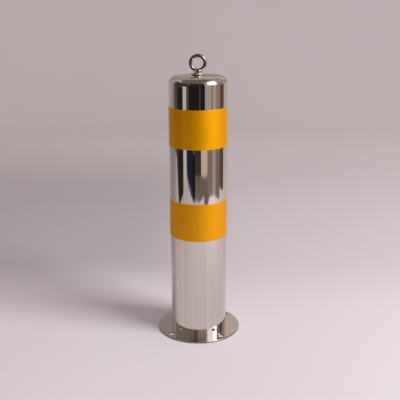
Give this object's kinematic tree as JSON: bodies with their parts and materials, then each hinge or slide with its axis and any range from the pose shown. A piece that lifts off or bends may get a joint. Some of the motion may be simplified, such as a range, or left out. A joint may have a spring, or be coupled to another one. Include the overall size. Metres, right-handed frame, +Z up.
{
  "type": "portable bollard",
  "caption": "Round polished steel bollard with a bolt-down flange, a rounded cap, reflective bands and an upright lifting eye.",
  "frame": {"origin": "centre of the base flange's underside, on the floor", "axes": "+Z up along the post; -Y the front, which the lifting eye's hole faces; +X to the right seen from the front"},
  "size_m": [0.16, 0.16, 0.5373],
  "materials": {
    "polished_steel": "mirror polished",
    "eye_steel": "polished casting",
    "washer_steel": "satin",
    "weld_steel": "ground weld",
    "yellow_tape": "satin reflective film"
  },
  "bodies": {
    "root": {"post_tube": "polished_steel", "top_cap": "polished_steel", "cap_weld": "polished_steel", "base_flange": "polished_steel", "base_weld": "weld_steel", "lower_reflective_band": "yellow_tape", "upper_reflective_band": "yellow_tape", "lifting_eye_bolt": "eye_steel", "eye_washer": "washer_steel", "eye_spring_washer": "washer_steel", "inner_washer": "washer_steel", "inner_nut": "washer_steel"}
  },
  "joints": []
}
